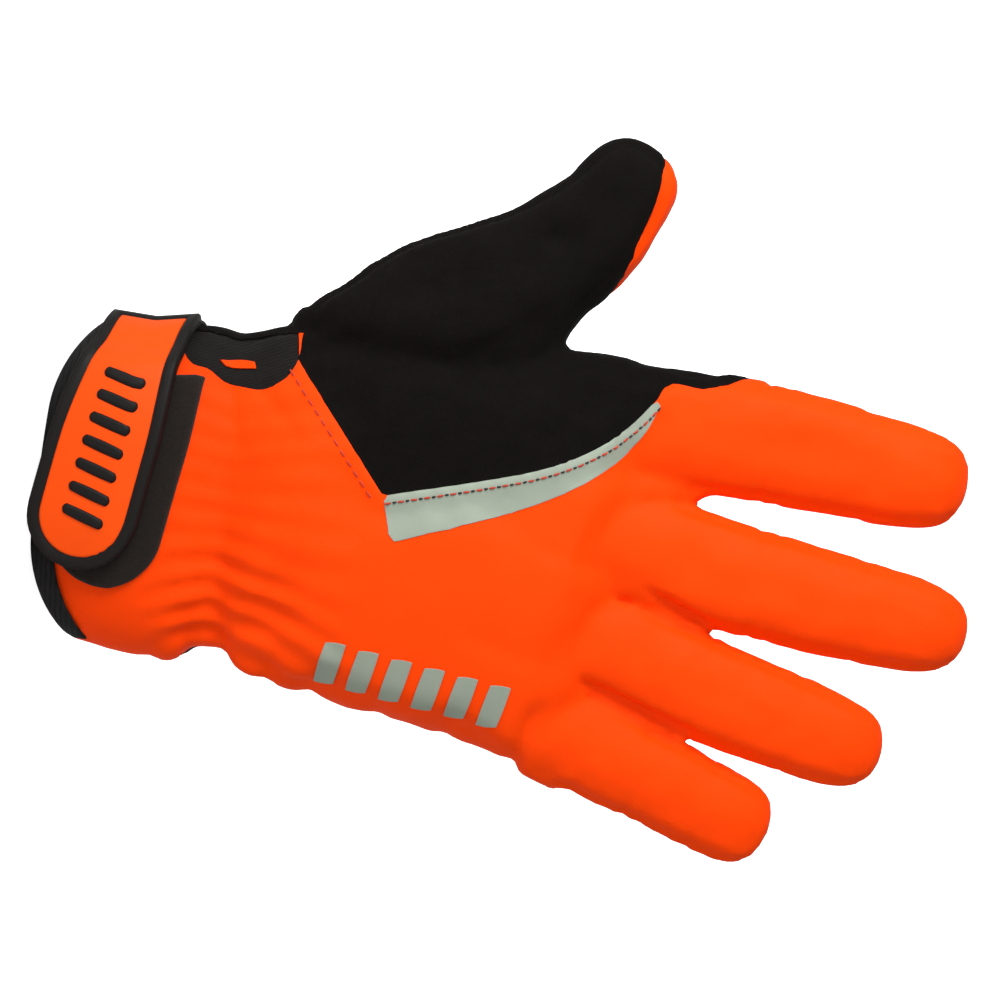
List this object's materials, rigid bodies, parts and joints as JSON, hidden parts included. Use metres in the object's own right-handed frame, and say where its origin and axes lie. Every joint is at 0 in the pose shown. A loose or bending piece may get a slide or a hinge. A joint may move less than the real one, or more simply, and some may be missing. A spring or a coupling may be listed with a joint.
{
  "type": "work glove",
  "caption": "Right-hand high-visibility work glove: orange stretch back, black suede palm and thumb, hook-and-loop wrist strap.",
  "frame": {"origin": "centre of the cuff opening, in the plane of the rim's flat front and back", "axes": "+Z along the hand to the fingertips, -Y out of the back of the hand, +X to the little finger side"},
  "size_m": [0.1945, 0.0579, 0.2531],
  "materials": {
    "orange_softshell": "fine woven stretch softshell",
    "black_suede": "synthetic suede, matt",
    "palm_pad_suede": "padded synthetic suede",
    "fleece_lining": "brushed fleece",
    "reflective_film": "retroreflective film",
    "black_webbing": "woven tape",
    "elastic_tape": "ribbed elastic",
    "loop_fabric": "fuzzy loop pile",
    "hook_fabric": "moulded hooks",
    "orange_rubber": "soft moulded, satin",
    "black_rubber": "soft moulded, satin",
    "label_fabric": "satin tape, blank"
  },
  "bodies": {
    "hand": {"back_panel": "orange_softshell", "palm_panel": "black_suede", "thumb_saddle": "black_suede", "cuff_binding": "black_webbing", "wrist_gusset": "black_webbing", "wrist_elastic": "elastic_tape", "hand_lining": "fleece_lining", "palm_pads": "palm_pad_suede", "loop_pad": "loop_fabric", "strap_root": "black_webbing", "reflective_trim": "reflective_film", "reflective_print": "reflective_film", "size_label": "label_fabric"},
    "knuckles": {"knuckle_back_panel": "orange_softshell", "knuckle_palm_panel": "black_suede", "knuckle_lining": "fleece_lining", "fourchette_index_middle": "orange_softshell", "fourchette_middle_ring": "orange_softshell", "fourchette_ring_little": "orange_softshell", "knuckle_saddle": "black_suede", "trim_tip": "reflective_film"},
    "index_mid": {"index_mid_back": "orange_softshell", "index_mid_palm": "black_suede", "index_mid_lining": "fleece_lining"},
    "index_tip": {"index_tip_back": "orange_softshell", "index_tip_palm": "black_suede", "index_tip_lining": "fleece_lining"},
    "middle_mid": {"middle_mid_back": "orange_softshell", "middle_mid_palm": "black_suede", "middle_mid_lining": "fleece_lining"},
    "middle_tip": {"middle_tip_back": "orange_softshell", "middle_tip_palm": "black_suede", "middle_tip_lining": "fleece_lining"},
    "ring_mid": {"ring_mid_back": "orange_softshell", "ring_mid_palm": "black_suede", "ring_mid_lining": "fleece_lining"},
    "ring_tip": {"ring_tip_back": "orange_softshell", "ring_tip_palm": "black_suede", "ring_tip_lining": "fleece_lining"},
    "little_mid": {"little_mid_back": "orange_softshell", "little_mid_palm": "black_suede", "little_mid_lining": "fleece_lining"},
    "little_tip": {"little_tip_back": "orange_softshell", "little_tip_palm": "black_suede", "little_tip_lining": "fleece_lining"},
    "thumb_base": {"thumb_base_back": "black_suede", "thumb_base_palm": "black_suede", "thumb_base_strip": "orange_softshell", "thumb_base_lining": "fleece_lining"},
    "thumb_tip": {"thumb_tip_back": "black_suede", "thumb_tip_palm": "black_suede", "thumb_tip_strip": "orange_softshell", "thumb_tip_lining": "fleece_lining"},
    "strap": {"strap_band": "black_webbing", "strap_hook": "hook_fabric", "strap_backing": "black_rubber", "strap_tab": "orange_rubber", "strap_ribs": "orange_rubber"}
  },
  "joints": [
    {"name": "knuckle_fold", "type": "hinge", "parent": "hand", "child": "knuckles", "pos_m": [0.00425, 0, 0.1375], "axis": [-0.9865, 0, 0.1637], "range_deg": [0, 65]},
    {"name": "index_bend", "type": "hinge", "parent": "knuckles", "child": "index_mid", "pos_m": [-0.03338, 0, 0.19003], "axis": [-0.9978, 0, 0.0667], "range_deg": [0, 85]},
    {"name": "index_tip_bend", "type": "hinge", "parent": "index_mid", "child": "index_tip", "pos_m": [-0.0315, 0, 0.21807], "axis": [-0.9978, 0, 0.0667], "range_deg": [0, 51]},
    {"name": "middle_bend", "type": "hinge", "parent": "knuckles", "child": "middle_mid", "pos_m": [0.00347, 0, 0.19297], "axis": [-0.9914, 0, 0.131], "range_deg": [0, 85]},
    {"name": "middle_tip_bend", "type": "hinge", "parent": "middle_mid", "child": "middle_tip", "pos_m": [0.00737, 0, 0.22251], "axis": [-0.9914, 0, 0.131], "range_deg": [0, 51]},
    {"name": "ring_bend", "type": "hinge", "parent": "knuckles", "child": "ring_mid", "pos_m": [0.03376, 0, 0.18203], "axis": [-0.969, 0, 0.247], "range_deg": [0, 85]},
    {"name": "ring_tip_bend", "type": "hinge", "parent": "ring_mid", "child": "ring_tip", "pos_m": [0.04037, 0, 0.208], "axis": [-0.969, 0, 0.247], "range_deg": [0, 51]},
    {"name": "little_bend", "type": "hinge", "parent": "knuckles", "child": "little_mid", "pos_m": [0.05957, 0, 0.16801], "axis": [-0.9467, 0, 0.3222], "range_deg": [0, 85]},
    {"name": "little_tip_bend", "type": "hinge", "parent": "little_mid", "child": "little_tip", "pos_m": [0.06585, 0, 0.18647], "axis": [-0.9467, 0, 0.3222], "range_deg": [0, 51]},
    {"name": "thumb_swing", "type": "hinge", "parent": "hand", "child": "thumb_base", "pos_m": [-0.0625, 0, 0.1035], "axis": [0.0294, 0, -0.9996], "range_deg": [0, 50]},
    {"name": "thumb_tip_bend", "type": "hinge", "parent": "thumb_base", "child": "thumb_tip", "pos_m": [-0.0884, 0, 0.1373], "axis": [-0.6701, 0, -0.7423], "range_deg": [0, 60]},
    {"name": "strap_peel", "type": "hinge", "parent": "hand", "child": "strap", "pos_m": [-0.0485, 0, 0.0226], "axis": [0, 0, -1], "range_deg": [0, 140]}
  ],
  "couplings": [
    {"joint": "index_tip_bend", "follows": "index_bend", "ratio": 0.6},
    {"joint": "middle_tip_bend", "follows": "middle_bend", "ratio": 0.6},
    {"joint": "ring_tip_bend", "follows": "ring_bend", "ratio": 0.6},
    {"joint": "little_tip_bend", "follows": "little_bend", "ratio": 0.6}
  ]
}
